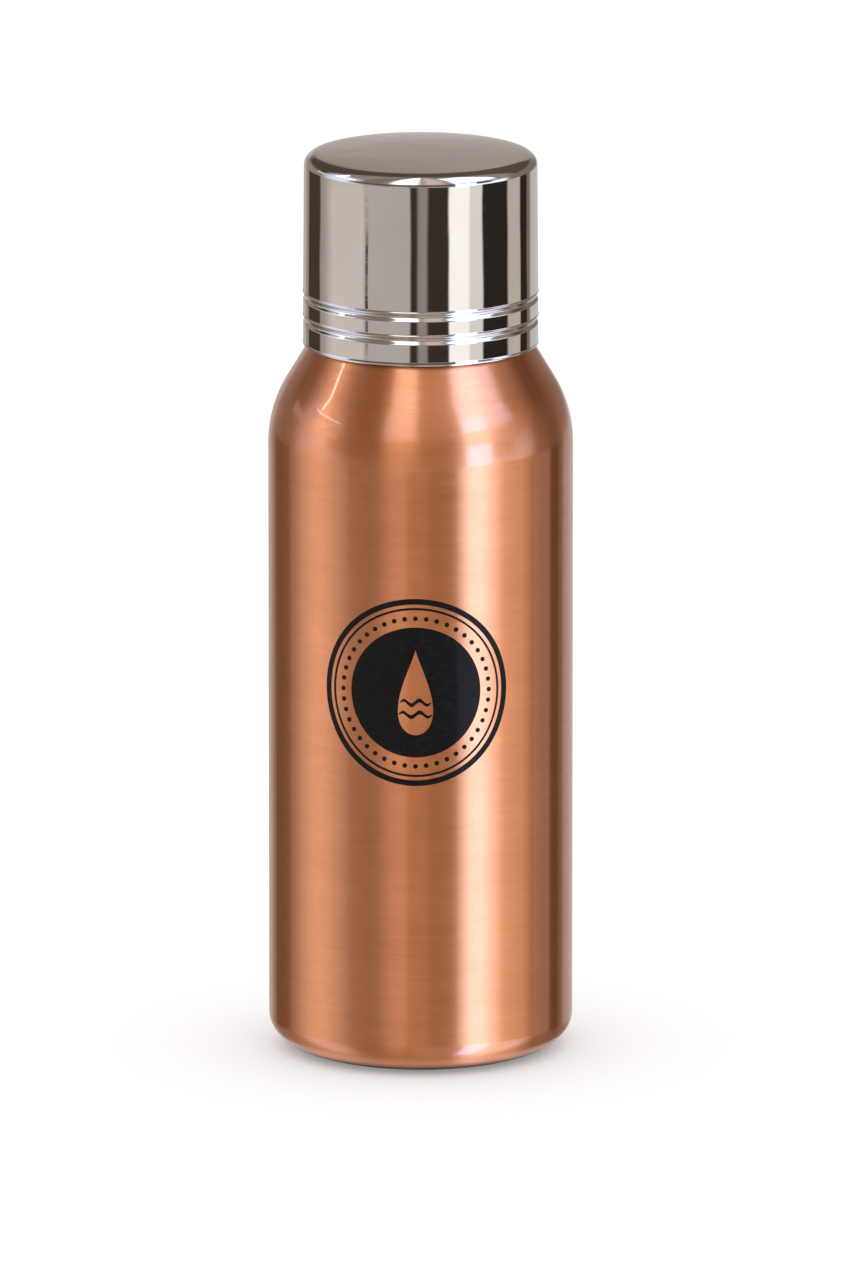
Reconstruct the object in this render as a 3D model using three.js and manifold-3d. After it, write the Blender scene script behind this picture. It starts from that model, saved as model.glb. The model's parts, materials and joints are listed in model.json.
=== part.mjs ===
// An insulated metal bottle: a copper-finished outer shell round a steel liner, a push-button pouring
// stopper screwed into the neck, and a drawn steel cup that screws over the stopper as the lid.
// Millimetres, +Z up, origin at the centre of the ring that the bottle stands on.
import * as THREE from "three";
import { mergeVertices } from "three/addons/utils/BufferGeometryUtils.js";
import Module from "manifold-3d";

const wasm = await Module();
wasm.setup();

// ---- Driving dimensions ----
const GAP = 0.3; // between pieces that touch on the real bottle
const BODY_R = 35; // outer shell
const SHEET = 0.5; // outer shell and liner sheet
const CORNER_R = 10.5; // base corner, an ellipse: how far it reaches in
const CORNER_H = 7.8; // and up
const FOOT_IN_R = 22.5; // inner edge of the standing ring
const FOOT_SEAM_Z = 13; // the foot is welded to the wall here, and the seam is ground flush
const SHOULDER_Z = 142; // where the straight wall ends
const SHOULDER_ARC = 29; // radius of the shoulder's curve
const SHOULDER_TURN = THREE.MathUtils.degToRad(31); // from upright to the shoulder's cone
const NECK_R = 22.8; // outside of the outer neck
const NECK_Z = 171.3; // where the neck starts to run straight
const LIP_Z = 179.8; // top of the mouth
const LIP_T = 0.8;
const VACUUM = 2.6; // space between shell and liner
const LINER_R = BODY_R - SHEET - VACUUM; // outside of the liner
const BORE_R = 20.8; // liner's neck, inside
const LEDGE_R = 17.6; // hole in the ledge under the stopper's gasket
const LEDGE_Z = 166.8;

const CUP_R = 26.95; // at the foot of the cup's wall
const CUP_TAPER = 0.2; // how much less it is at the top
const CUP_SHEET = 0.5;
const CUP_RIM_Z = 165.3;
const CUP_TOP_Z = 210.1;
const CUP_DOME = 0.5;
const CUP_EDGE_R = 2.8;
const GROOVE_HEIGHTS = [11.4, 6]; // of the two rolled grooves above the cup's rim
const GROOVE_DEPTH = 0.4;
const GROOVE_HALF = 1; // half its width

const CUP_LEAD = 12; // three-start thread between cup and neck
const CUP_STARTS = 3;
const STOPPER_LEAD = 7.2; // two-start thread between stopper and liner
const STOPPER_STARTS = 2;

const KNOB_R = 21.6;
const KNOB_TOP_Z = 188.8;
const PLUG_R = 19.3; // root of the stopper's thread
const PLUG_STEP_Z = 169.5; // where the gasket's seat starts
const STUB_R = 16; // the gasket is pushed on to this
const STUB_END_Z = 166.9;
const CHAMBER_R = 8;
const CHAMBER_WALL = 1.2;
const POCKET_R = 12.5; // the button slides in this
const POCKET_FLOOR_Z = 184.7;
const FLOOR_T = 1;
const STEM_R = 2;
const BUTTON_R = 12.1;
const BUTTON_T = 1.4;
const BUTTON_TOP_Z = 189.8;

const FINE = 32; // facets round the outside pieces
const MEDIUM = 24;
const SMALL = 16;

// ---- Materials ----
const material = (color, roughness, metalness) =>
  new THREE.MeshStandardMaterial({ color, roughness, metalness });
const copper = material(0xc47a52, 0.32, 1);
const polishedSteel = material(0xd6d2cd, 0.06, 1);
const satinSteel = material(0xb9bbbd, 0.3, 1);
const foil = material(0xcf8158, 0.2, 1);
const blackPlastic = material(0x1f2022, 0.45, 0);
const getterGrey = material(0x8d9093, 0.6, 0.8);
const silicone = material(0xe8e6e0, 0.6, 0);
const foam = material(0xf3f1ea, 0.9, 0);

// ---- Geometry helpers ----
const bottle = new THREE.Group();

// Points [r, z] turned about Z. The profile runs up its outside, and starts and ends on the axis or closes.
function turned(points, facets, closed = true) {
  const profile = points.map(([r, z]) => new THREE.Vector2(r, z));
  if (closed) profile.push(profile[0].clone());
  return new THREE.LatheGeometry(profile, facets).rotateX(Math.PI / 2);
}

// Points along an ellipse's arc, angles in radians, in the r-z plane.
function arc(r, z, radiusR, radiusZ, from, to, steps) {
  return Array.from({ length: steps + 1 }, (_, i) => {
    const a = from + ((to - from) * i) / steps;
    return [r + radiusR * Math.cos(a), z + radiusZ * Math.sin(a)];
  });
}

// The path moved sideways by a distance: positive is to the left of its direction.
function offset(path, distance) {
  const side = (a, b) => {
    const length = Math.hypot(b[0] - a[0], b[1] - a[1]);
    return [-(b[1] - a[1]) / length, (b[0] - a[0]) / length];
  };
  return path.map((p, i) => {
    const before = i > 0 ? side(path[i - 1], p) : side(p, path[1]);
    const after = i < path.length - 1 ? side(p, path[i + 1]) : before;
    const mitre = [before[0] + after[0], before[1] + after[1]];
    const scale = (2 * distance) / (mitre[0] ** 2 + mitre[1] ** 2);
    const onAxis = p[0] === 0;
    return [onAxis ? 0 : p[0] + mitre[0] * scale, p[1] + mitre[1] * scale];
  });
}

// A sheet of even thickness: its outer face runs up along the path, and its inner face comes back.
const sheet = (path, thickness) => [...path, ...offset(path, thickness).reverse()];
// The same for a path that ends on the axis, so that the profile starts there too.
const hood = (path, thickness) => [...offset(path, thickness).reverse(), ...path];

const ring = (rIn, rOut, z0, z1) => [
  [rOut, z0],
  [rOut, z1],
  [rIn, z1],
  [rIn, z0],
];

const disc = (r, z0, z1) => [
  [0, z0],
  [r, z0],
  [r, z1],
  [0, z1],
];

function solid(geometry) {
  const bare = geometry.index ? geometry.toNonIndexed() : geometry.clone();
  bare.deleteAttribute("normal");
  bare.deleteAttribute("uv");
  const merged = mergeVertices(bare, 1e-3);
  return new wasm.Manifold(
    new wasm.Mesh({
      numProp: 3,
      vertProperties: merged.attributes.position.array,
      triVerts: new Uint32Array(merged.index.array),
    }),
  );
}

function geometryOf(manifold) {
  const mesh = manifold.getMesh();
  return new THREE.BufferGeometry()
    .setAttribute("position", new THREE.BufferAttribute(new Float32Array(mesh.vertProperties), 3))
    .setIndex(new THREE.BufferAttribute(new Uint32Array(mesh.triVerts), 1));
}

// One start of a right-handed thread, as a ridge on a wall of radius wallR with its crest at crestR.
// It fades into the wall at both ends.
function threadRidge({ wallR, crestR, baseWidth, crestWidth, lead, fromZ, toZ, startAngle }) {
  const sweep = ((toZ - fromZ) / lead) * 2 * Math.PI;
  const steps = Math.ceil(sweep / (Math.PI / 14));
  const rootR = wallR - Math.sign(crestR - wallR) * 0.35;
  const positions = [];
  for (let i = 0; i <= steps; i++) {
    const t = i / steps;
    const height = Math.min(1, 0.15 + 6 * Math.min(t, 1 - t));
    const angle = startAngle + sweep * t;
    const z = fromZ + (toZ - fromZ) * t;
    const crest = wallR + (crestR - wallR) * height;
    const section = [
      [rootR, -baseWidth / 2],
      [crest, -crestWidth / 2],
      [crest, crestWidth / 2],
      [rootR, baseWidth / 2],
    ];
    for (const [r, dz] of section)
      positions.push(r * Math.cos(angle), r * Math.sin(angle), z + dz);
  }
  const sides = 4;
  const faces = [];
  for (let i = 0; i < steps; i++)
    for (let k = 0; k < sides; k++) {
      const a = i * sides + k;
      const b = i * sides + ((k + 1) % sides);
      faces.push(a, a + sides, b, b, a + sides, b + sides);
    }
  const last = steps * sides;
  faces.push(0, 1, 2, 0, 2, 3, last, last + 2, last + 1, last, last + 3, last + 2);
  if (crestR < wallR) faces.reverse();
  const geometry = new THREE.BufferGeometry();
  geometry.setAttribute("position", new THREE.BufferAttribute(new Float32Array(positions), 3));
  geometry.setIndex(faces);
  return solid(geometry);
}

function threaded(geometry, starts, ridge) {
  let body = solid(geometry);
  for (let i = 0; i < starts; i++)
    body = body.add(
      threadRidge({ ...ridge, startAngle: ridge.startAngle + (i * 2 * Math.PI) / starts }),
    );
  return body;
}

function add(name, geometry, finish) {
  const mesh = new THREE.Mesh(geometry, finish);
  mesh.name = name;
  bottle.add(mesh);
}

// ---- Outer shell: wall, shoulder and the neck that carries the cup's thread, and the foot under it ----
const coneR = BODY_R - SHOULDER_ARC * (1 - Math.cos(SHOULDER_TURN));
const coneZ = SHOULDER_Z + SHOULDER_ARC * Math.sin(SHOULDER_TURN);
const coneRAt = (z) => coneR - (z - coneZ) * Math.tan(SHOULDER_TURN);
const shoulder = (steps) =>
  arc(BODY_R - SHOULDER_ARC, SHOULDER_Z, SHOULDER_ARC, SHOULDER_ARC, 0, SHOULDER_TURN, steps);
const CONE_END_Z = 169.4; // where the shoulder's cone turns up into the neck

const shellPath = [
  [BODY_R, FOOT_SEAM_Z + GAP],
  ...shoulder(4),
  [coneRAt(CONE_END_Z), CONE_END_Z],
  [NECK_R + 0.25, NECK_Z - 0.7], // the turn's middle
  [NECK_R, NECK_Z],
  [NECK_R, LIP_Z - LIP_T - GAP],
];
const CUP_THREAD_Z = [172.9, 177.6];
const CUP_THREAD_HEIGHT = 0.9;
const cupThread = { baseWidth: 1.7, crestWidth: 0.8, lead: CUP_LEAD, fromZ: CUP_THREAD_Z[0] };
const cupPitch = CUP_LEAD / CUP_STARTS;
add(
  "outer_shell",
  geometryOf(
    threaded(turned(sheet(shellPath, SHEET), FINE), CUP_STARTS, {
      ...cupThread,
      wallR: NECK_R,
      crestR: NECK_R + CUP_THREAD_HEIGHT,
      toZ: CUP_THREAD_Z[1],
      startAngle: 0,
    }),
  ),
  copper,
);

const footPath = [
  [FOOT_IN_R, 0],
  ...arc(BODY_R - CORNER_R, CORNER_H, CORNER_R, CORNER_H, -Math.PI / 2, 0, 4),
  [BODY_R, FOOT_SEAM_Z],
];
add("outer_foot", turned(sheet(footPath, SHEET), FINE), copper);

// ---- Base: a cover plate in the standing ring, and the vacuum-tight bottom above it ----
const PLATE_R = 25.4;
const PLATE_Z = 1.2;
const PLATE_T = 0.6;
const DISH_R = 14; // the plate's middle is pressed up inside this
const DISH_H = 0.5;
const plate = [
  [0, PLATE_Z + DISH_H],
  [DISH_R, PLATE_Z + DISH_H],
  [DISH_R + 1, PLATE_Z],
  [PLATE_R, PLATE_Z],
  [PLATE_R, PLATE_Z + PLATE_T],
  [DISH_R + 1.4, PLATE_Z + PLATE_T],
  [DISH_R + 0.4, PLATE_Z + PLATE_T + DISH_H],
  [0, PLATE_Z + PLATE_T + DISH_H],
];
add("base_plate", turned(plate, MEDIUM, false), satinSteel);

const BOTTOM_Z = 3.6;
const BOTTOM_R = 33.8;
const BOTTOM_T = 0.6;
const bottomPath = [
  [0, BOTTOM_Z],
  [BOTTOM_R - 5.8, BOTTOM_Z],
  [BOTTOM_R - 2.6, BOTTOM_Z + 1.6],
  [BOTTOM_R - 0.7, CORNER_H],
  [BOTTOM_R, CORNER_H + 2],
  [BOTTOM_R, FOOT_SEAM_Z + 1],
];
add("outer_bottom", turned(sheet(bottomPath, BOTTOM_T), MEDIUM, false), satinSteel);

const PLUG_DOT_R = 3.2; // the bead of braze that seals the vacuum
const PLUG_DOT_T = 0.6;
const plugDotZ = BOTTOM_Z - GAP - PLUG_DOT_T;
add("vacuum_plug", turned(disc(PLUG_DOT_R, plugDotZ, BOTTOM_Z - GAP), SMALL, false), satinSteel);

const GETTER_R = 5;
const GETTER_T = 1.7;
const GETTER_X = 14;
const getterZ = BOTTOM_Z + BOTTOM_T + GAP;
add(
  "getter",
  turned(disc(GETTER_R, getterZ, getterZ + GETTER_T), SMALL, false).translate(GETTER_X, 0, 0),
  getterGrey,
);

// ---- Liner: the steel bottle inside, its neck with the stopper's thread, and its bottom, all welded ----
const LINER_SEAM_Z = 16;
const linerOffset = BODY_R - LINER_R;
const linerShoulder = offset([...shoulder(3), [coneRAt(164), 164]], linerOffset).slice(0, -1);
const LINER_CONE_END = [24.2, 161.4]; // the neck is welded on here
const LEDGE_FOOT_Z = 163.6; // where the liner turns up under the ledge
const linerPath = [[LINER_R, LINER_SEAM_Z + GAP], ...linerShoulder, LINER_CONE_END];
add("liner", turned(sheet(linerPath, SHEET), MEDIUM), satinSteel);

const linerNeck = [
  [LINER_CONE_END[0] - 0.2, LINER_CONE_END[1] + GAP],
  [22.6, LEDGE_FOOT_Z - 0.6],
  [LEDGE_R + SHEET, LEDGE_FOOT_Z],
  [LEDGE_R + SHEET, LEDGE_Z - SHEET],
  [BORE_R + SHEET, LEDGE_Z - SHEET + 0.3],
  [BORE_R + SHEET, LIP_Z - LIP_T],
  [NECK_R - 0.1, LIP_Z - LIP_T],
  [NECK_R - 0.1, LIP_Z],
  [BORE_R, LIP_Z],
  [BORE_R, LEDGE_Z],
  [LEDGE_R, LEDGE_Z],
  [LEDGE_R, LEDGE_FOOT_Z - SHEET],
  [22.3, LEDGE_FOOT_Z - 0.6 - SHEET],
  [LINER_CONE_END[0] - 0.6, LINER_CONE_END[1]],
];
const STOPPER_THREAD_Z = [172.2, 177.4];
const STOPPER_THREAD_HEIGHT = 1;
const stopperThread = {
  baseWidth: 1.5,
  crestWidth: 0.7,
  lead: STOPPER_LEAD,
  fromZ: STOPPER_THREAD_Z[0],
};
const stopperPitch = STOPPER_LEAD / STOPPER_STARTS;
add(
  "liner_neck",
  geometryOf(
    threaded(turned(linerNeck, MEDIUM), STOPPER_STARTS, {
      ...stopperThread,
      wallR: BORE_R,
      crestR: BORE_R - STOPPER_THREAD_HEIGHT,
      toZ: STOPPER_THREAD_Z[1],
      startAngle: 0,
    }),
  ),
  satinSteel,
);

const LINER_FLOOR_Z = 7; // the lowest of the liner, round its raised middle
const LINER_RISE = 2;
const LINER_CORNER = 6;
const linerBottomPath = [
  [0, LINER_FLOOR_Z + LINER_RISE],
  [12, LINER_FLOOR_Z + 0.8 * LINER_RISE],
  [20, LINER_FLOOR_Z + 0.1 * LINER_RISE],
  ...arc(
    LINER_R - LINER_CORNER,
    LINER_FLOOR_Z + LINER_CORNER,
    LINER_CORNER,
    LINER_CORNER,
    -Math.PI / 2,
    0,
    4,
  ),
  [LINER_R, LINER_SEAM_Z],
];
add("liner_bottom", turned(sheet(linerBottomPath, SHEET), MEDIUM, false), satinSteel);

const FOIL_T = 0.3;
const FOIL_Z = [20, 138];
const foilR = LINER_R + 0.4;
add("reflector_foil", turned(ring(foilR, foilR + FOIL_T, ...FOIL_Z), MEDIUM), foil);

// ---- Cup: the drawn steel lid, its plastic inner cup with the thread, and its sealing ring ----
const groove = (height) => {
  const z = CUP_RIM_Z + height;
  return [
    [CUP_R - 0.05, z - GROOVE_HALF],
    [CUP_R - GROOVE_DEPTH, z],
    [CUP_R + 0.1, z + GROOVE_HALF],
  ];
};
const CUP_HEM_H = 0.5; // the rim's edge is a little proud for this far up
const cupTopR = CUP_R - CUP_TAPER;
const cupPath = [
  [CUP_R + 0.05, CUP_RIM_Z],
  [CUP_R + 0.05, CUP_RIM_Z + CUP_HEM_H],
  [CUP_R - 0.05, CUP_RIM_Z + CUP_HEM_H + 0.4],
  ...groove(GROOVE_HEIGHTS[1]),
  ...groove(GROOVE_HEIGHTS[0]),
  [CUP_R, CUP_RIM_Z + GROOVE_HEIGHTS[0] + 2],
  ...arc(
    cupTopR - CUP_EDGE_R,
    CUP_TOP_Z - CUP_DOME - CUP_EDGE_R,
    CUP_EDGE_R,
    CUP_EDGE_R,
    0,
    Math.PI / 2,
    3,
  ),
  [CUP_R / 2, CUP_TOP_Z - CUP_DOME / 4],
  [0, CUP_TOP_Z],
];
add("cup_shell", turned(hood(cupPath, CUP_SHEET), FINE, false), polishedSteel);

const INNER_CUP_R = 25.45;
const INNER_CUP_T = 1;
const SKIRT_R = NECK_R + 1.4; // bore of the threaded skirt
const SKIRT_Z = 171.8;
const INNER_CUP_TOP_Z = 208.7;
const LEDGE_RING_R = 22.9; // the ledge over the neck, which the sealing ring sits under
const LEDGE_RING_Z = 181.6;
const innerCup = [
  [0, INNER_CUP_TOP_Z - INNER_CUP_T],
  [INNER_CUP_R - INNER_CUP_T - 2, INNER_CUP_TOP_Z - INNER_CUP_T],
  [INNER_CUP_R - INNER_CUP_T - 0.4, INNER_CUP_TOP_Z - INNER_CUP_T - 0.8],
  [INNER_CUP_R - INNER_CUP_T, INNER_CUP_TOP_Z - INNER_CUP_T - 2],
  [INNER_CUP_R - INNER_CUP_T, LEDGE_RING_Z + 1.8],
  [LEDGE_RING_R, LEDGE_RING_Z + 1],
  [LEDGE_RING_R, LEDGE_RING_Z],
  [SKIRT_R, LEDGE_RING_Z],
  [SKIRT_R, SKIRT_Z],
  [INNER_CUP_R, SKIRT_Z],
  [INNER_CUP_R, INNER_CUP_TOP_Z - 2.6],
  [INNER_CUP_R - 0.8, INNER_CUP_TOP_Z - 0.8],
  [INNER_CUP_R - 2.6, INNER_CUP_TOP_Z],
  [0, INNER_CUP_TOP_Z],
];
add(
  "inner_cup",
  geometryOf(
    threaded(turned(innerCup, MEDIUM, false), CUP_STARTS, {
      ...cupThread,
      wallR: SKIRT_R,
      crestR: SKIRT_R - CUP_THREAD_HEIGHT,
      toZ: CUP_THREAD_Z[1] + cupPitch / 2,
      startAngle: -Math.PI / CUP_STARTS,
    }),
  ),
  blackPlastic,
);
const CUP_SEAL_R = [22, 23.6];
const CUP_SEAL_T = 1.2;
const cupSealZ = LIP_Z + GAP;
add("cup_seal", turned(ring(...CUP_SEAL_R, cupSealZ, cupSealZ + CUP_SEAL_T), MEDIUM), silicone);

// ---- Stopper: threaded body with its pouring windows, insulation, base and gasket ----
const BOSS_R = 5.4; // round the stem's guide hole
const BOSS_Z = 180.9;
const COUNTERBORE_R = 4.3; // the stem seal sits in this
const COUNTERBORE_Z = 182.5;
const FOAM_OUTER_R = 15;
const FOAM_TOP_Z = 178.5;
const KNOB_CHAMFER = 1.2;
const guideR = STEM_R + GAP;
const foamR = [CHAMBER_R + CHAMBER_WALL, FOAM_OUTER_R];
const stopperProfile = [
  [foamR[1], STUB_END_Z],
  [STUB_R, STUB_END_Z],
  [STUB_R, PLUG_STEP_Z],
  [PLUG_R, PLUG_STEP_Z],
  [PLUG_R, LIP_Z + GAP],
  [KNOB_R, LIP_Z + GAP],
  [KNOB_R, KNOB_TOP_Z - KNOB_CHAMFER],
  [KNOB_R - KNOB_CHAMFER, KNOB_TOP_Z],
  [POCKET_R, KNOB_TOP_Z],
  [POCKET_R, POCKET_FLOOR_Z],
  [COUNTERBORE_R, POCKET_FLOOR_Z],
  [COUNTERBORE_R, COUNTERBORE_Z],
  [guideR, COUNTERBORE_Z],
  [guideR, BOSS_Z],
  [BOSS_R, BOSS_Z],
  [BOSS_R, POCKET_FLOOR_Z - FLOOR_T],
  [CHAMBER_R, POCKET_FLOOR_Z - FLOOR_T],
  [CHAMBER_R, STUB_END_Z],
  [foamR[0], STUB_END_Z],
  [foamR[0], FOAM_TOP_Z],
  [foamR[1], FOAM_TOP_Z],
];
const WINDOW_Z = [BOSS_Z, POCKET_FLOOR_Z - FLOOR_T];
const WINDOW_WIDTH = 9;
const FLUTES = 20;
const FLUTE_R = 1.5;
const FLUTE_Z = [184.4, 190.4];

function stopperBody() {
  let body = threaded(turned(stopperProfile, MEDIUM), STOPPER_STARTS, {
    ...stopperThread,
    wallR: PLUG_R,
    crestR: PLUG_R + STOPPER_THREAD_HEIGHT,
    toZ: STOPPER_THREAD_Z[1] - stopperPitch / 2,
    startAngle: Math.PI / STOPPER_STARTS,
  });
  const windowLength = KNOB_R - CHAMBER_R + 3;
  const window = new THREE.BoxGeometry(windowLength, WINDOW_WIDTH, WINDOW_Z[1] - WINDOW_Z[0]);
  const windowX = CHAMBER_R - 0.5 + windowLength / 2;
  for (const side of [-1, 1])
    body = body.subtract(
      solid(window.clone().translate(side * windowX, 0, (WINDOW_Z[0] + WINDOW_Z[1]) / 2)),
    );
  const fluteLength = FLUTE_Z[1] - FLUTE_Z[0];
  const fluteZ = (FLUTE_Z[0] + FLUTE_Z[1]) / 2;
  const flute = new THREE.CylinderGeometry(FLUTE_R, FLUTE_R, fluteLength, 8).rotateX(Math.PI / 2);
  for (let i = 0; i < FLUTES; i++) {
    const angle = ((i + 0.5) / FLUTES) * 2 * Math.PI;
    const r = KNOB_R + FLUTE_R * 0.55;
    body = body.subtract(
      solid(flute.clone().translate(r * Math.cos(angle), r * Math.sin(angle), fluteZ)),
    );
  }
  return geometryOf(body);
}
add("stopper_body", stopperBody(), blackPlastic);
const foamRing = ring(foamR[0] + GAP, foamR[1] - GAP, STUB_END_Z + GAP, FOAM_TOP_Z - GAP);
add("stopper_insulation", turned(foamRing, MEDIUM), foam);

const BASE_R = 17.2;
const BASE_Z = 162.9;
const BASE_CHAMFER = 0.6;
const SEAT_R = 6.5; // the valve closes this hole from below
const SEAT_T = 1.2;
const VALVE_WELL_R = 9.2;
const baseTopZ = STUB_END_Z - GAP;
const stopperBase = [
  [VALVE_WELL_R, BASE_Z],
  [BASE_R - BASE_CHAMFER, BASE_Z],
  [BASE_R, BASE_Z + BASE_CHAMFER],
  [BASE_R, baseTopZ],
  [SEAT_R, baseTopZ],
  [SEAT_R, baseTopZ - SEAT_T],
  [VALVE_WELL_R, baseTopZ - SEAT_T],
];
add("stopper_base", turned(stopperBase, MEDIUM), blackPlastic);

const GASKET_R = 19.3;
const gasketZ = [LEDGE_Z + GAP, PLUG_STEP_Z - GAP];
const gasket = [
  [STUB_R + GAP, gasketZ[0]],
  [GASKET_R - 0.3, gasketZ[0]],
  [GASKET_R, gasketZ[0] + 0.8],
  [GASKET_R, gasketZ[1] - 0.7],
  [GASKET_R - 0.3, gasketZ[1]],
  [STUB_R + GAP, gasketZ[1]],
];
add("stopper_gasket", turned(gasket, MEDIUM), silicone);

// ---- Push button: button, return spring, stem, stem seal, valve disc and valve seal ----
const BUTTON_EDGE = 0.5;
const FINGER_R = 8.5; // the dished middle of the button
const FINGER_DEPTH = 0.6;
const buttonBottomZ = BUTTON_TOP_Z - BUTTON_T;
const buttonProfile = [
  [0, buttonBottomZ],
  [BUTTON_R, buttonBottomZ],
  [BUTTON_R, BUTTON_TOP_Z - BUTTON_EDGE],
  [BUTTON_R - BUTTON_EDGE, BUTTON_TOP_Z],
  [FINGER_R, BUTTON_TOP_Z],
  [FINGER_R - 2.5, BUTTON_TOP_Z - FINGER_DEPTH + 0.1],
  [0, BUTTON_TOP_Z - FINGER_DEPTH],
];
add("push_button", turned(buttonProfile, MEDIUM, false), copper);

// A spring that narrows upwards, so that its turns lie inside each other when it is pressed flat.
const SPRING_WIRE_R = 0.3;
const SPRING_TURNS = 3;
const SPRING_FOOT_R = 10.6;
const SPRING_HEAD_R = 6.2;
class SpringLine extends THREE.Curve {
  getPoint(t, target = new THREE.Vector3()) {
    const angle = t * SPRING_TURNS * 2 * Math.PI;
    const r = THREE.MathUtils.lerp(SPRING_FOOT_R, SPRING_HEAD_R, t);
    const low = POCKET_FLOOR_Z + SPRING_WIRE_R + GAP;
    const high = buttonBottomZ - SPRING_WIRE_R - GAP;
    const z = THREE.MathUtils.lerp(low, high, t);
    return target.set(r * Math.cos(angle), r * Math.sin(angle), z);
  }
}
const wire = new THREE.Shape().absarc(0, 0, SPRING_WIRE_R, 0, 2 * Math.PI, false);
add(
  "button_spring",
  new THREE.ExtrudeGeometry(wire, {
    curveSegments: 3,
    steps: SPRING_TURNS * 14,
    extrudePath: new SpringLine(),
  }),
  satinSteel,
);

const HEAD_R = 3.9;
const HEAD_T = 0.8;
const STEM_END_Z = 163.3;
const headTopZ = buttonBottomZ - GAP;
const stem = [
  [0, STEM_END_Z],
  [STEM_R, STEM_END_Z],
  [STEM_R, headTopZ - HEAD_T],
  [HEAD_R, headTopZ - HEAD_T],
  [HEAD_R, headTopZ],
  [0, headTopZ],
];
add("valve_stem", turned(stem, SMALL, false), satinSteel);

const O_RING = { radiusR: 0.8, radiusZ: 0.65 };
const oRingR = (guideR + COUNTERBORE_R - GAP) / 2;
const oRingZ = COUNTERBORE_Z + GAP + O_RING.radiusZ;
const oRing = arc(oRingR, oRingZ, O_RING.radiusR, O_RING.radiusZ, 0, 2 * Math.PI, 6).slice(0, -1);
add("stem_seal", turned(oRing, SMALL), silicone);

const DISC_R = 8.6;
const DISC_Z = [162.4, 163.6];
const HUB_R = 4.2; // round the stem's end
const hubTopZ = DISC_Z[1] + 1.2;
const valveDisc = [
  [0, DISC_Z[0]],
  [DISC_R, DISC_Z[0]],
  [DISC_R, DISC_Z[1]],
  [HUB_R, DISC_Z[1]],
  [HUB_R, hubTopZ],
  [guideR, hubTopZ],
  [guideR, STEM_END_Z - GAP],
  [0, STEM_END_Z - GAP],
];
add("valve_disc", turned(valveDisc, SMALL, false), blackPlastic);

const VALVE_SEAL_T = 1.2;
const valveSealZ = DISC_Z[1] + GAP;
const valveSeal = ring(HUB_R + GAP, DISC_R - 0.2, valveSealZ, valveSealZ + VALVE_SEAL_T);
add("valve_seal", turned(valveSeal, SMALL), silicone);

export default bottle;
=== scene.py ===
"""The looks of a copper-finished insulated bottle with a polished steel cup lid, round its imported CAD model.

Lengths in the pieces' own outlines are millimetres; MM turns them into Blender's metres.
"""

import json
import math

import bpy
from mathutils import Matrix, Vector

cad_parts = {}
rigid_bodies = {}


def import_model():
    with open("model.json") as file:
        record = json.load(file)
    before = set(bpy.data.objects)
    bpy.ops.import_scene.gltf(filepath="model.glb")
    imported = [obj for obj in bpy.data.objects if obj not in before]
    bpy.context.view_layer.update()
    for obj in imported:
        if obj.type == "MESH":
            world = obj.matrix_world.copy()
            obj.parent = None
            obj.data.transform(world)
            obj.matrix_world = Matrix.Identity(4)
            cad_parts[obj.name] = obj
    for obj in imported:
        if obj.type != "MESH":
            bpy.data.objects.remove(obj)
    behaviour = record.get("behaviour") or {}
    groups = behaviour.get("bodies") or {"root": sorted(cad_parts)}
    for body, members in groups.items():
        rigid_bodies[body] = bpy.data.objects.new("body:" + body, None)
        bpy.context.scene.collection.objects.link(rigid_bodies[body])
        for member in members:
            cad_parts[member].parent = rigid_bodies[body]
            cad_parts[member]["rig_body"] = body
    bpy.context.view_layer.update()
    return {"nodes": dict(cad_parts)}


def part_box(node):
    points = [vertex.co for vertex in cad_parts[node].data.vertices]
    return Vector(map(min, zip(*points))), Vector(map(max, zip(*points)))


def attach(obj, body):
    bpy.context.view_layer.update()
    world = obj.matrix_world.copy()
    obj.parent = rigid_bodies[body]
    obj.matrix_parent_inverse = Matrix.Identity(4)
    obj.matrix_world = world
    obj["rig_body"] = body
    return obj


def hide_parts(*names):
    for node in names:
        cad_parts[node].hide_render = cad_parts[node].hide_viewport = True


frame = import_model()

MM = 0.001
FINE = 224  # facets round the pieces that show
PLAIN = 128  # facets round the small and the inner pieces
GAP = 0.3  # between pieces that touch on the real bottle


def size_of(node):
    """(outer radius, lowest, highest) of a round CAD node, in millimetres."""
    low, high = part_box(node)
    return high.y / MM, low.z / MM, high.z / MM


# ---- Driving dimensions, from the frame where it holds them ----
BODY_R, _, NECK_END = size_of("outer_shell")
CUP_R, CUP_RIM, CUP_TOP = size_of("cup_shell")
LIP_Z = size_of("liner_neck")[2]
SHEET = 0.5
CORNER_R = 10.5
CORNER_H = 7.8
FOOT_IN_R = 22.5
SHOULDER_Z = 142
SHOULDER_ARC = 29
SHOULDER_TURN = math.radians(31)
NECK_R = 22.8
NECK_Z = 171.3
VACUUM = 2.6
LINER_R = BODY_R - SHEET - VACUUM
BORE_R = 20.8
LEDGE_R = 17.6
LEDGE_Z = 166.8
GROOVE_HEIGHTS = (6, 11.4)  # of the cup's two rolled grooves above its rim
CUP_LEAD = 12
CUP_STARTS = 3
STOPPER_LEAD = 7.2
STOPPER_STARTS = 2
ROLLED_END = 177.6  # where the cup's thread runs out on the neck
CUT_END = 177.4  # where the stopper's thread runs out in the liner's neck
THREAD_STEP = 0.22  # height of the short steps that a threaded wall is split into
LINER_SEAM = 16  # the liner's wall is welded to its bottom here
POCKET_FLOOR = 184.7  # the floor of the button's pocket in the stopper
SHARP = math.radians(38)  # edges that turn more than this show as edges


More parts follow.
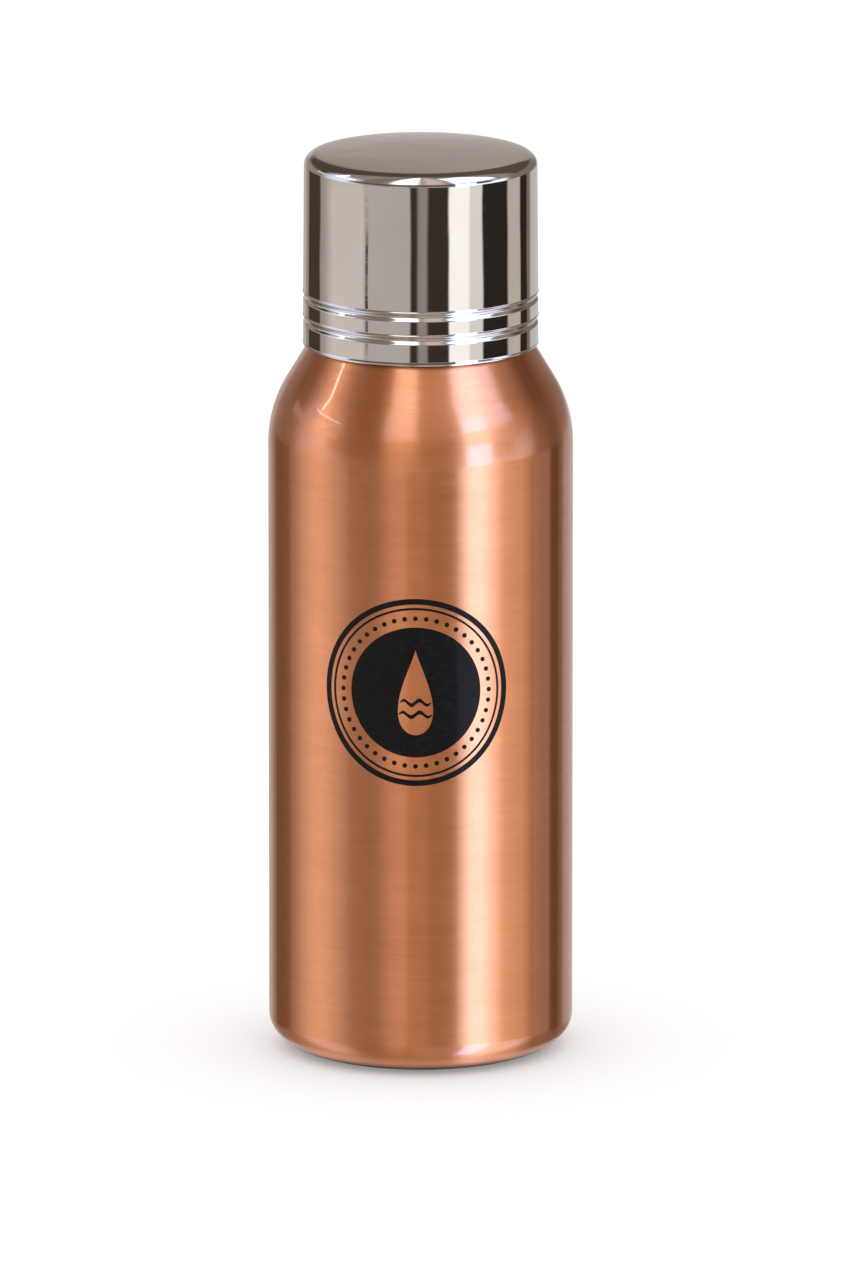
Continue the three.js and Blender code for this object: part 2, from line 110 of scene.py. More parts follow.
# ---- Mesh helpers ----
def arc(r, z, radius_r, radius_z, start, end, steps):
    """Points along an ellipse's arc in the r-z plane, angles in radians."""
    points = []
    for i in range(steps + 1):
        a = start + (end - start) * i / steps
        points.append((r + radius_r * math.cos(a), z + radius_z * math.sin(a)))
    return points


def offset(path, distance):
    """The path moved sideways, positive to the left of its direction; points on the axis stay on it."""
    moved = []
    for i, p in enumerate(path):
        sides = []
        for a, b in ((path[max(i - 1, 0)], p), (p, path[min(i + 1, len(path) - 1)])):
            step = math.hypot(b[0] - a[0], b[1] - a[1])
            if step > 1e-9:
                sides.append((-(b[1] - a[1]) / step, (b[0] - a[0]) / step))
        mitre = (sides[0][0] + sides[-1][0], sides[0][1] + sides[-1][1])
        scale = 2 * distance / (mitre[0] ** 2 + mitre[1] ** 2)
        r = p[0] + mitre[0] * scale
        moved.append((0 if p[0] == 0 else r, p[1] + mitre[1] * scale))
    return moved


def rounded(points, radius, steps=4, closed=True):
    """The outline with each corner off the axis rounded by the radius, or by less where a side is short."""
    result = []
    count = len(points)
    for i, p in enumerate(points):
        before, after = points[i - 1], points[(i + 1) % count]
        at_end = not closed and i in (0, count - 1)
        if at_end or p[0] < 1e-6:
            result.append(p)
            continue
        to_before = Vector((before[0] - p[0], before[1] - p[1]))
        to_after = Vector((after[0] - p[0], after[1] - p[1]))
        corner = to_before.angle(to_after, math.pi)
        if corner > math.radians(172):
            result.append(p)
            continue
        reach = min(
            radius / math.tan(corner / 2),
            0.48 * to_before.length,
            0.48 * to_after.length,
        )
        start = Vector(p) + to_before.normalized() * reach
        end = Vector(p) + to_after.normalized() * reach
        for k in range(steps + 1):
            t = k / steps
            q = start * (1 - t) ** 2 + Vector(p) * 2 * t * (1 - t) + end * t**2
            result.append((q.x, q.y))
    return result


def finely(points, step, low, high, closed=True):
    """The outline with its steep sides between two heights split into short steps, ready for a thread."""
    result = []
    ends = points[1:] + (points[:1] if closed else [])
    for a, b in zip(points, ends):
        result.append(a)
        inside = min(a[1], b[1]) < high and max(a[1], b[1]) > low
        cuts = math.ceil(abs(b[1] - a[1]) / step) if inside else 1
        for k in range(1, cuts):
            t = k / cuts
            result.append((a[0] + (b[0] - a[0]) * t, a[1] + (b[1] - a[1]) * t))
    if not closed:
        result.append(points[-1])
    return result


def thread(wall, height, lead, starts, low, high, angle, base, crest):
    """A function that gives a wall its right-handed thread: it moves points at the wall by up to height."""
    pitch = lead / starts

    def relief(r, z, theta):
        if abs(r - wall) > 0.06:
            return r
        turns = (z - low - lead * (theta - angle) / (2 * math.pi)) / pitch
        dz = (turns - round(turns)) * pitch
        along = (z - dz - low) / (high - low)
        if not 0 <= along <= 1:
            return r
        fade = min(1, 0.05 + 7 * min(along, 1 - along))
        t = (base / 2 - abs(dz)) / (base / 2 - crest / 2)
        t = max(0, min(1, t))
        return r + height * fade * t * t * (3 - 2 * t)

    return relief


def mesh_object(name, vertices, faces, material):
    mesh = bpy.data.meshes.new(name)
    mesh.from_pydata(vertices, [], faces)
    mesh.validate()
    mesh.shade_smooth()
    mesh.set_sharp_from_angle(angle=SHARP)
    mesh.materials.append(material)
    piece = bpy.data.objects.new(name, mesh)
    bpy.context.scene.collection.objects.link(piece)
    return piece


def turned(name, outline, material, facets=FINE, reliefs=()):
    """A closed solid of revolution. The outline runs up its outside, and ends on the axis or closes."""
    on_axis = outline[0][0] == 0
    vertices = []
    rings = []
    for r, z in outline:
        if r == 0:
            rings.append([len(vertices)] * facets)
            vertices.append((0, 0, z * MM))
            continue
        rings.append(range(len(vertices), len(vertices) + facets))
        for k in range(facets):
            theta = 2 * math.pi * k / facets
            radius = r
            for relief in reliefs:
                radius = relief(radius, z, theta)
            vertices.append((radius * MM * math.cos(theta), radius * MM * math.sin(theta), z * MM))
    faces = []
    pairs = list(zip(rings, rings[1:]))
    if not on_axis:
        pairs.append((rings[-1], rings[0]))
    for a, b in pairs:
        for k in range(facets):
            n = (k + 1) % facets
            corners = [a[k], a[n], b[n], b[k]]
            distinct = [c for i, c in enumerate(corners) if c != corners[i - 1]]
            if len(distinct) > 2:
                faces.append(distinct)
    return mesh_object(name, vertices, faces, material)


def sheet(path, thickness):
    """The outline of a sheet whose outer face runs up along the path."""
    return path + offset(path, thickness)[::-1]


def hood(path, thickness):
    """The same for a path that ends on the axis."""
    return offset(path, thickness)[::-1] + path


def ring(r_in, r_out, low, high):
    return [(r_out, low), (r_out, high), (r_in, high), (r_in, low)]


def disc(r, low, high):
    return [(0, low), (r, low), (r, high), (0, high)]


def fit(piece, slot, *nodes):
    """The piece stands for the CAD nodes, which it hides, and rides on their body; the slot is not used."""
    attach(piece, frame["nodes"][nodes[0]]["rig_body"])
    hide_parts(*nodes)


# ---- Materials ----
class Surface:
    """A material with a Principled shader and short ways to make its nodes."""

    def __init__(self, name, **sockets):
        self.material = bpy.data.materials.new(name)
        self.material.use_nodes = True
        self.tree = self.material.node_tree
        self.shader = self.tree.nodes["Principled BSDF"]
        for socket, value in sockets.items():
            self.shader.inputs[socket.replace("_", " ")].default_value = value

    def node(self, kind, **settings):
        made = self.tree.nodes.new(kind)
        for key, value in settings.items():
            if key in made.inputs:
                made.inputs[key].default_value = value
            else:
                setattr(made, key, value)
        return made

    def link(self, output, target):
        self.tree.links.new(output, target)

    def place(self, scale):
        """The piece's own coordinates, in metres, stretched by the scale."""
        coordinates = self.node("ShaderNodeTexCoord")
        mapping = self.node("ShaderNodeMapping", Scale=scale)
        self.link(coordinates.outputs["Object"], mapping.inputs["Vector"])
        return mapping.outputs["Vector"]

    def noise(self, scale, detail=3.0, roughness=0.55, distortion=0.0):
        """Soft noise whose grain is 1/scale metres on each axis."""
        made = self.node(
            "ShaderNodeTexNoise", Scale=1.0, Detail=detail, Roughness=roughness, Distortion=distortion
        )
        self.link(self.place(scale), made.inputs["Vector"])
        return made.outputs["Fac"]

    def spread(self, value, low, high, to_low, to_high):
        """The value between low and high, moved to between to_low and to_high."""
        made = self.node("ShaderNodeMapRange")
        made.inputs["From Min"].default_value = low
        made.inputs["From Max"].default_value = high
        made.inputs["To Min"].default_value = to_low
        made.inputs["To Max"].default_value = to_high
        self.link(value, made.inputs["Value"])
        return made.outputs["Result"]

    def math(self, operation, a, b):
        made = self.node("ShaderNodeMath", operation=operation)
        for socket, value in zip(made.inputs, (a, b)):
            if isinstance(value, (int, float)):
                socket.default_value = value
            else:
                self.link(value, socket)
        return made.outputs[0]

    def tint(self, value, dark, light):
        """A colour between dark and light, by a value from 0 to 1, on the shader's base colour."""
        mix = self.node("ShaderNodeMix", data_type="RGBA")
        self.link(value, mix.inputs["Factor"])
        mix.inputs[6].default_value = (*dark, 1)
        mix.inputs[7].default_value = (*light, 1)
        self.link(mix.outputs[2], self.shader.inputs["Base Color"])
        return mix.outputs[2]

    def bump(self, height, strength, distance, target="Normal"):
        made = self.node("ShaderNodeBump", Strength=strength, Distance=distance)
        self.link(height, made.inputs["Height"])
        self.link(made.outputs["Normal"], self.shader.inputs[target])

    def brushed_round(self):
        """Turns the shader's grain so that it is smooth along the brush lines, which run round the axis."""
        tangent = self.node("ShaderNodeTangent", direction_type="RADIAL", axis="Z")
        self.link(tangent.outputs["Tangent"], self.shader.inputs["Tangent"])
        self.shader.inputs["Anisotropic Rotation"].default_value = 0.25


def brushed_copper():
    """Copper brushed round the axis: fine short lines, soft pressure marks, and a clear gloss lacquer over.

    Near the floor, where the bottle stands, the copper is painted dark as its contact shadow, and its lacquer
    and edge tint thin out there.
    """
    s = Surface("brushed_copper", Metallic=1.0, Anisotropic=0.95, Coat_Roughness=0.035)
    s.shader.inputs["Coat IOR"].default_value = 1.55
    s.brushed_round()
    lines = s.noise((130, 130, 2800), detail=3.0, roughness=0.65)
    wide_lines = s.noise((45, 45, 900), detail=2.0)
    marks = s.noise((40, 40, 90), detail=3.0, distortion=0.8)
    grain = s.math("ADD", s.math("MULTIPLY", lines, 0.4), s.math("MULTIPLY", wide_lines, 0.25))
    grain = s.math("ADD", grain, s.math("MULTIPLY", marks, 0.35))
    copper = s.tint(s.spread(grain, 0.38, 0.62, 0, 1), (0.79, 0.28, 0.105), (0.88, 0.33, 0.13))
    # Painted shade: the lowest 3 mm of the copper darkens to near black towards the floor, standing in for the
    # contact shadow under the foot, with less lacquer and edge tint there.
    painted_contact_shade = s.node("ShaderNodeMix", data_type="RGBA")
    split = s.node("ShaderNodeSeparateXYZ")
    s.link(s.place((1, 1, 1)), split.inputs[0])
    clear_of_contact_shade = s.spread(split.outputs["Z"], 0.0008, 0.0028, 0, 1)
    s.link(clear_of_contact_shade, painted_contact_shade.inputs["Factor"])
    painted_contact_shade.inputs[6].default_value = (0.03, 0.012, 0.008, 1)
    s.link(copper, painted_contact_shade.inputs[7])
    s.link(painted_contact_shade.outputs[2], s.shader.inputs["Base Color"])
    s.link(s.spread(clear_of_contact_shade, 0, 1, 0.1, 0.9), s.shader.inputs["Coat Weight"])
    s.link(s.spread(clear_of_contact_shade, 0, 1, 0.05, 1), s.shader.inputs["Specular Tint"])
    s.link(s.spread(lines, 0.3, 0.7, 0.3, 0.44), s.shader.inputs["Roughness"])
    s.bump(lines, 0.12, 0.00003)
    s.bump(s.noise((90, 90, 90), detail=1.0), 0.04, 0.0002, "Coat Normal")
    return s.material


def polished_steel():
    """Mirror-polished drawn steel: slightly warm, with fine hairlines and the slow waviness of polishing."""
    s = Surface("polished_steel", Metallic=1.0, Roughness=0.045)
    haze = s.noise((30, 30, 2200), detail=2.0)
    s.link(s.spread(haze, 0.45, 0.75, 0.03, 0.085), s.shader.inputs["Roughness"])
    clouds = s.noise((55, 55, 35), detail=2.0)
    s.tint(s.spread(clouds, 0.3, 0.7, 0, 1), (0.66, 0.625, 0.595), (0.72, 0.69, 0.66))
    s.bump(s.noise((120, 120, 45), detail=1.0), 0.10, 0.0005)
    return s.material


def satin_steel():
    """Electropolished stainless steel with faint turning lines."""
    s = Surface("satin_steel", Metallic=1.0, Anisotropic=0.4)
    s.brushed_round()
    lines = s.noise((12, 12, 1900), detail=2.5)
    s.tint(s.spread(lines, 0.35, 0.65, 0, 1), (0.5, 0.5, 0.5), (0.66, 0.655, 0.65))
    s.link(s.spread(lines, 0.35, 0.65, 0.2, 0.33), s.shader.inputs["Roughness"])
    s.bump(lines, 0.1, 0.00005)
    return s.material


def plastic(name, dark, light, roughness, grain=4200):
    """Moulded plastic with a fine spark-eroded grain."""
    s = Surface(name, Metallic=0.0)
    grains = s.noise((grain, grain, grain), detail=1.5)
    clouds = s.noise((70, 70, 70), detail=2.0)
    s.tint(s.spread(clouds, 0.3, 0.7, 0, 1), dark, light)
    s.link(s.spread(clouds, 0.3, 0.7, roughness - 0.05, roughness + 0.06), s.shader.inputs["Roughness"])
    s.bump(grains, 0.25, 0.00006)
    return s.material


def plated_plastic():
    """Copper-plated plastic, spun to a satin face."""
    s = Surface("plated_plastic", Metallic=1.0, Anisotropic=0.5, Coat_Weight=0.5, Coat_Roughness=0.08)
    s.brushed_round()
    lines = s.noise((16, 16, 2400), detail=2.0)
    spun = s.noise((700, 700, 700), detail=2.0)
    s.tint(s.spread(spun, 0.35, 0.65, 0, 1), (0.72, 0.31, 0.16), (0.86, 0.42, 0.24))
    s.link(s.spread(lines, 0.35, 0.65, 0.2, 0.3), s.shader.inputs["Roughness"])
    s.bump(spun, 0.08, 0.00004)
    return s.material


def silicone():
    s = Surface("silicone", Metallic=0.0)
    s.shader.inputs["Subsurface Weight"].default_value = 0.25
    s.shader.inputs["Subsurface Radius"].default_value = (0.002, 0.0019, 0.0017)
    clouds = s.noise((160, 160, 160), detail=2.0)
    s.tint(s.spread(clouds, 0.3, 0.7, 0, 1), (0.66, 0.65, 0.61), (0.77, 0.76, 0.73))
    s.link(s.spread(clouds, 0.3, 0.7, 0.42, 0.55), s.shader.inputs["Roughness"])
    s.bump(s.noise((3000, 3000, 3000), detail=1.0), 0.15, 0.00005)
    return s.material


def foam():
    """Foamed polystyrene: beads pressed together."""
    s = Surface("foam", Metallic=0.0, Roughness=0.9)
    beads = s.node("ShaderNodeTexVoronoi", Scale=1.0, feature="DISTANCE_TO_EDGE")
    s.link(s.place((420, 420, 420)), beads.inputs["Vector"])
    edge = s.spread(beads.outputs["Distance"], 0.0, 0.12, 0, 1)
    s.tint(edge, (0.72, 0.71, 0.67), (0.9, 0.89, 0.86))
    s.bump(edge, 0.4, 0.0002)
    return s.material


def foil():
    """Bright copper foil, slightly creased."""
    s = Surface("foil", Metallic=1.0)
    creases = s.noise((60, 60, 60), detail=6.0, roughness=0.65)
    s.tint(s.spread(creases, 0.35, 0.65, 0, 1), (0.8, 0.4, 0.25), (0.93, 0.52, 0.36))
    s.link(s.spread(creases, 0.3, 0.7, 0.12, 0.28), s.shader.inputs["Roughness"])
    s.bump(creases, 0.5, 0.0006)
    return s.material


def sintered_metal():
    s = Surface("sintered_metal", Metallic=0.8)
    pores = s.noise((2500, 2500, 2500), detail=3.0)
    s.tint(s.spread(pores, 0.35, 0.65, 0, 1), (0.2, 0.2, 0.21), (0.42, 0.42, 0.43))
    s.link(s.spread(pores, 0.3, 0.7, 0.5, 0.75), s.shader.inputs["Roughness"])
    s.bump(pores, 0.5, 0.0001)
    return s.material


def print_ink():
    """Pad-printed black ink, slightly thin in places."""
    s = Surface("print_ink", Metallic=0.0, Coat_Weight=0.1, Coat_Roughness=0.06)
    s.shader.inputs["Specular IOR Level"].default_value = 0.1
    cover = s.noise((600, 600, 1500), detail=3.0)
    s.tint(s.spread(cover, 0.3, 0.75, 0, 1), (0.004, 0.0035, 0.0035), (0.011, 0.009, 0.008))
    s.link(s.spread(cover, 0.3, 0.7, 0.34, 0.46), s.shader.inputs["Roughness"])
    s.bump(cover, 0.1, 0.00003)
    return s.material


COPPER = brushed_copper()
POLISHED = polished_steel()
SATIN = satin_steel()
BLACK = plastic("black_plastic", (0.014, 0.014, 0.015), (0.024, 0.024, 0.026), 0.42)
PLATED = plated_plastic()
SILICONE = silicone()
FOAM = foam()
FOIL = foil()
SINTERED = sintered_metal()
INK = print_ink()


# ---- Bottle ----
cone_r = BODY_R - SHOULDER_ARC * (1 - math.cos(SHOULDER_TURN))
cone_z = SHOULDER_Z + SHOULDER_ARC * math.sin(SHOULDER_TURN)


def cone_r_at(z):
    return cone_r - (z - cone_z) * math.tan(SHOULDER_TURN)


def shoulder(steps):
    return arc(BODY_R - SHOULDER_ARC, SHOULDER_Z, SHOULDER_ARC, SHOULDER_ARC, 0, SHOULDER_TURN, steps)


CUP_THREAD = {"lead": CUP_LEAD, "starts": CUP_STARTS, "low": 172.9, "base": 1.7, "crest": 0.8}
STOPPER_THREAD = {"lead": STOPPER_LEAD, "starts": STOPPER_STARTS, "low": 172.2, "base": 1.5, "crest": 0.7}


def outer_shell():
    """Standing ring, base corner, straight wall, shoulder, and the neck with its rolled thread."""
    wall = [(BODY_R, CORNER_H + (SHOULDER_Z - CORNER_H) * i / 12) for i in range(1, 12)]
    neck_foot = arc(NECK_R + 2.2, NECK_Z + 0.1, 2.2, 2.4, math.pi * 1.32, math.pi, 8)
    path = [(FOOT_IN_R, 0.35), (FOOT_IN_R + 0.4, 0)]
    path += arc(BODY_R - CORNER_R, CORNER_H, CORNER_R, CORNER_H, -math.pi / 2, 0, 28)
    path += wall
    path += shoulder(24)
    path += [(cone_r_at(z), z) for z in (159.5, 162, 164.5, 167)]
    path += neck_foot
    path += [(NECK_R, NECK_END)]
    outline = finely(sheet(path, SHEET), THREAD_STEP, 171.8, NECK_END)
    male = thread(wall=NECK_R, height=0.85, high=ROLLED_END, angle=0, **CUP_THREAD)
    rolled = thread(wall=NECK_R - SHEET, height=0.7, high=ROLLED_END, angle=0, **CUP_THREAD)
    shell = turned("body_shell", outline, COPPER, reliefs=(male, rolled))
    fit(shell, "copper_body", "outer_shell", "outer_foot")


def base_pieces():
    """The cover plate in the standing ring, and what lies above it."""
    plate = [(0, 1.7), (13.4, 1.7), (14.6, 1.2), (25.4, 1.2), (25.4, 1.8), (15, 1.8), (14, 2.4), (0, 2.4)]
    fit(turned("base_cover", rounded(plate, 0.5), SATIN), "satin_steel", "base_plate")
    bottom = [(0, 3.6), (28, 3.6), (31.2, 5.2), (33.1, 7.8), (33.8, 9.8), (33.8, 14)]
    dish = sheet(rounded(bottom, 2, closed=False), 0.6)
    fit(turned("vacuum_bottom", dish, SATIN, PLAIN), "satin_steel", "outer_bottom")
    seal = arc(0, 3.3, 3.2, 0.6, -math.pi / 2, 0, 8)
    fit(turned("seal_plug", [(0, 2.7)] + seal[1:] + [(0, 3.3)], SATIN, PLAIN), "satin_steel", "vacuum_plug")
    pellet = turned("getter_pellet", rounded(disc(5, 4.5, 6.2), 0.3), SINTERED, PLAIN)
    low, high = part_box("getter")
    for vertex in pellet.data.vertices:
        vertex.co.x += (low.x + high.x) / 2
    fit(pellet, "getter_grey", "getter")


def liner():
    """The steel bottle inside: its wall and neck with the stopper's thread, and its bottom."""
    inner_shoulder = offset(shoulder(16) + [(cone_r_at(164), 164)], SHEET + VACUUM)[:-1]
    path = [(LINER_R, LINER_SEAM + GAP)] + inner_shoulder
    path += [(24.2, 161.4), (22.6, 163), (LEDGE_R + SHEET, 163.6), (LEDGE_R + SHEET, LEDGE_Z - SHEET)]
    path += [(BORE_R + SHEET, LEDGE_Z - 0.2), (BORE_R + SHEET, LIP_Z - 0.8)]
    path += [(NECK_R - 0.1, LIP_Z - 0.8), (NECK_R - 0.1, LIP_Z)]
    path += [(BORE_R, LIP_Z), (BORE_R, LEDGE_Z), (LEDGE_R, LEDGE_Z), (LEDGE_R, 163.1)]
    path += [(22.3, 162.5), (23.7, 161.2)] + offset(inner_shoulder, SHEET)[::-1]
    path += [(LINER_R - SHEET, LINER_SEAM + GAP)]
    outline = finely(rounded(path, 0.35), THREAD_STEP, 171.2, 178.6)
    female = thread(wall=BORE_R, height=-0.95, high=CUT_END, angle=0, **STOPPER_THREAD)
    rolled = thread(wall=BORE_R + SHEET, height=-0.6, high=CUT_END, angle=0, **STOPPER_THREAD)
    bottle = turned("inner_bottle", outline, SATIN, FINE, (female, rolled))
    fit(bottle, "satin_steel", "liner", "liner_neck")
    floor = 7
    corner = 6
    path = [(0, floor + 2), (12, floor + 1.6), (20, floor + 0.2)]
    path += arc(LINER_R - corner, floor + corner, corner, corner, -math.pi / 2, 0, 12)
    path += [(LINER_R, LINER_SEAM)]
    fit(turned("inner_bottom", sheet(path, SHEET), SATIN), "satin_steel", "liner_bottom")
    wrap = ring(LINER_R + 0.4, LINER_R + 0.7, 20, 138)
    fit(turned("copper_foil", finely(wrap, 12, 20, 138), FOIL, PLAIN), "foil", "reflector_foil")


# ---- Cup lid ----
def cup_shell():
    """Drawn cup: rolled hem, two rolled grooves, slightly tapered wall, rounded edge, slightly domed top."""
    edge = 2.8
    dome = 0.5
    taper = 0.2
    wall_r = CUP_R - 0.1

    def groove(z):
        """From below: a tight turn in, the lower wall, the valley, the upper wall and its thin proud lip."""
        return [
            (wall_r, z - 1.1),
            (wall_r - 0.01, z - 0.98),
            (wall_r - 0.08, z - 0.84),
            (wall_r - 0.3, z - 0.52),
            (wall_r - 0.44, z - 0.26),
            (wall_r - 0.47, z - 0.06),
            (wall_r - 0.41, z + 0.12),
            (wall_r - 0.2, z + 0.4),
            (wall_r + 0.02, z + 0.66),
            (wall_r + 0.1, z + 0.82),
            (wall_r + 0.1, z + 0.98),
            (wall_r + 0.05, z + 1.12),
            (wall_r + 0.01, z + 1.22),
            (wall_r, z + 1.34),
            (wall_r, z + 1.5),
        ]

    path = [(wall_r - 0.1, CUP_RIM), (wall_r + 0.03, CUP_RIM + 0.08), (wall_r + 0.09, CUP_RIM + 0.26)]
    path += [(wall_r + 0.08, CUP_RIM + 0.5), (wall_r + 0.02, CUP_RIM + 0.7), (wall_r, CUP_RIM + 0.85)]
    for height in GROOVE_HEIGHTS:
        z = CUP_RIM + height
        path.append((wall_r, path[-1][1] + 0.2))
        path.append((wall_r, z - 1.3))
        path += groove(z)
    top = CUP_TOP - dome
    low_wall = path[-1][1]
    for i in range(1, 9):
        path.append((wall_r - taper * i / 9, low_wall + (top - edge - low_wall) * i / 9))
    path += arc(wall_r - taper - edge, top - edge, edge, edge, 0, math.pi / 2 * 0.93, 16)
    crown_r, crown_z = path[-1]
    for i in range(1, 16):
        r = crown_r * (1 - i / 16)
        path.append((r, CUP_TOP - (CUP_TOP - crown_z) * (r / crown_r) ** 2.6))
    path.append((0, CUP_TOP))
    fit(turned("cup_lid", hood(path, SHEET), POLISHED, 256), "polished_steel", "cup_shell")


def inner_cup():
    """Plastic inner cup, with its threaded skirt and the ledge that holds the sealing ring."""
    r = 25.45
    skirt = NECK_R + 1.4
    top = 208.7
    ledge = 181.6
    outline = [(0, top - 1), (r - 3, top - 1), (r - 1.4, top - 1.8), (r - 1, top - 3), (r - 1, ledge + 1.8)]
    outline += [(22.9, ledge + 1), (22.9, ledge), (skirt, ledge), (skirt, 171.8), (r, 171.8)]
    outline += [(r, top - 2.6), (r - 0.8, top - 0.8), (r - 2.6, top), (0, top)]
    outline = finely(rounded(outline, 0.3), THREAD_STEP, 171.8, 180.4)
    pitch = CUP_LEAD / CUP_STARTS
    female = thread(
        wall=skirt, height=-0.85, high=ROLLED_END + pitch / 2, angle=-math.pi / CUP_STARTS, **CUP_THREAD
    )
    fit(turned("cup_liner", outline, BLACK, FINE, (female,)), "black_plastic", "inner_cup")
    seal = ring(22, 23.6, LIP_Z + GAP, LIP_Z + 1.5)
    fit(turned("cup_ring_seal", rounded(seal, 0.4), SILICONE, FINE), "silicone", "cup_seal")


# ---- Stopper ----
def stopper():
    """Stopper body with its thread, pouring windows and fluted knob, and the pieces in and under it."""
    knob_r, _, knob_top = size_of("stopper_body")
    plug_r = 19.3
    step_z = 169.5
    stub_r = 16
    stub_z = 166.9
    chamber = 8
    guide = 2.3
    low_knob = [(15, stub_z), (stub_r, stub_z), (stub_r, step_z), (plug_r, step_z), (plug_r, LIP_Z + GAP)]
    knob = [(knob_r, LIP_Z + GAP), (knob_r, knob_top - 1.2), (knob_r - 1.2, knob_top), (12.5, knob_top)]
    pocket = [(12.5, POCKET_FLOOR), (4.3, POCKET_FLOOR), (4.3, 182.5)]
    pocket += [(guide, 182.5), (guide, 180.9), (5.4, 180.9)]
    inside = [(5.4, POCKET_FLOOR - 1), (chamber, POCKET_FLOOR - 1), (chamber, stub_z), (9.2, stub_z)]
    inside += [(9.2, 178.5), (15, 178.5)]
    outline = finely(rounded(low_knob + knob + pocket + inside, 0.3, 3), 0.25, 171.2, 177.2)
    pitch = STOPPER_LEAD / STOPPER_STARTS
    male = thread(
        wall=plug_r,
        height=0.95,
        high=CUT_END - pitch / 2,
        angle=math.pi / STOPPER_STARTS,
        **STOPPER_THREAD,
    )
    body = turned("stopper_knob", outline, BLACK, FINE, (male,))
    cut_windows(body, chamber, knob_r, 180.9, POCKET_FLOOR - 1)
    cut_flutes(body, knob_r, 184.4, 190.4)
    fit(body, "black_plastic", "stopper_body")
    filling = ring(9.5, 14.7, stub_z + 0.2, 178.2)
    fit(turned("stopper_foam", rounded(filling, 0.3), FOAM, PLAIN), "foam", "stopper_insulation")
    base = [(9.2, 162.9), (16.6, 162.9), (17.2, 163.6), (17.2, 166.6)]
    base += [(6.5, 166.6), (6.5, 165.4), (9.2, 165.4)]
    fit(turned("stopper_foot", rounded(base, 0.25), BLACK, PLAIN), "black_plastic", "stopper_base")
    gasket = [(stub_r + GAP, 167.1), (19, 167.1), (19.3, 167.9)]
    gasket += [(19.3, 168.5), (19, 169.2), (stub_r + GAP, 169.2)]
    fit(turned("plug_gasket", rounded(gasket, 0.3), SILICONE, PLAIN), "silicone", "stopper_gasket")


def cut(body, cutters):
    """Takes the cutters away from the body, and removes them."""
    for cutter in cutters:
        modifier = body.modifiers.new("cut", "BOOLEAN")
        modifier.object = cutter
        modifier.solver = "EXACT"
    bpy.context.view_layer.update()
    graph = bpy.context.evaluated_depsgraph_get()
    mesh = bpy.data.meshes.new_from_object(body.evaluated_get(graph))
    body.modifiers.clear()
    body.data = mesh
    mesh.set_sharp_from_angle(angle=SHARP)
    for cutter in cutters:
        bpy.data.objects.remove(cutter)


def prism(name, section, low, high):
    """A closed upright prism over a convex section, in millimetres."""
    count = len(section)
    vertices = [(x * MM, y * MM, z * MM) for z in (low, high) for x, y in section]
    faces = [list(range(count))[::-1], list(range(count, 2 * count))]
    for k in range(count):
        n = (k + 1) % count
        faces.append([k, n, count + n, count + k])
    return mesh_object(name, vertices, faces, BLACK)


def cut_windows(body, chamber, knob_r, low, high):
    """The two pouring windows, one each side, from the chamber out through the knob's foot."""
    half = 4.5
    cutters = []
    for side in (-1, 1):
        near = side * (chamber - 0.5)
        far = side * (knob_r + 3)
        section = [(near, -half), (far, -half), (far, half), (near, half)]
        cutters.append(prism("window_cutter", section[::side], low, high))
    cut(body, cutters)


def cut_flutes(body, knob_r, low, high):
    """Finger flutes round the top of the knob."""
    flutes = 20
    radius = 1.5
    cutters = []
    for i in range(flutes):
        angle = (i + 0.5) / flutes * 2 * math.pi
        x = (knob_r + radius * 0.55) * math.cos(angle)
        y = (knob_r + radius * 0.55) * math.sin(angle)
        section = []
        for k in range(24):
            a = 2 * math.pi * k / 24
            section.append((x + radius * math.cos(a), y + radius * math.sin(a)))
        cutters.append(prism("flute_cutter", section, low, high))
    cut(body, cutters)


def button_group():
    """Push button, return spring, stem with its seal, valve disc and valve seal."""
    r, low, top = size_of("push_button")
    face = [(0, low), (r, low), (r, top - 0.5), (r - 0.6, top), (8.5, top), (6, top - 0.5), (0, top - 0.6)]
    fit(turned("button_cap", rounded(face, 0.4, 5), PLATED, FINE), "copper_trim", "push_button")
    stem = [(0, 163.3), (2, 163.3), (2, 187.3), (3.9, 187.3), (3.9, 188.1), (0, 188.1)]
    fit(turned("valve_rod", rounded(stem, 0.2), SATIN, 64), "satin_steel", "valve_stem")
    seal_r, seal_low, seal_high = size_of("stem_seal")
    middle = (seal_low + seal_high) / 2
    torus = arc(seal_r - 0.8, middle, 0.8, (seal_high - seal_low) / 2, 0, 2 * math.pi, 20)[:-1]
    fit(turned("stem_o_ring", torus, SILICONE, 96), "silicone", "stem_seal")
    disc_outline = [(0, 162.4), (8.6, 162.4), (8.6, 163.6), (4.2, 163.6), (4.2, 164.8), (2.3, 164.8)]
    disc_outline += [(2.3, 163), (0, 163)]
    fit(turned("valve_plate", rounded(disc_outline, 0.2), BLACK, 96), "black_plastic", "valve_disc")
    seal = ring(4.5, 8.4, 163.9, 165.1)
    fit(turned("valve_washer", rounded(seal, 0.35), SILICONE, 96), "silicone", "valve_seal")
    spring(low)


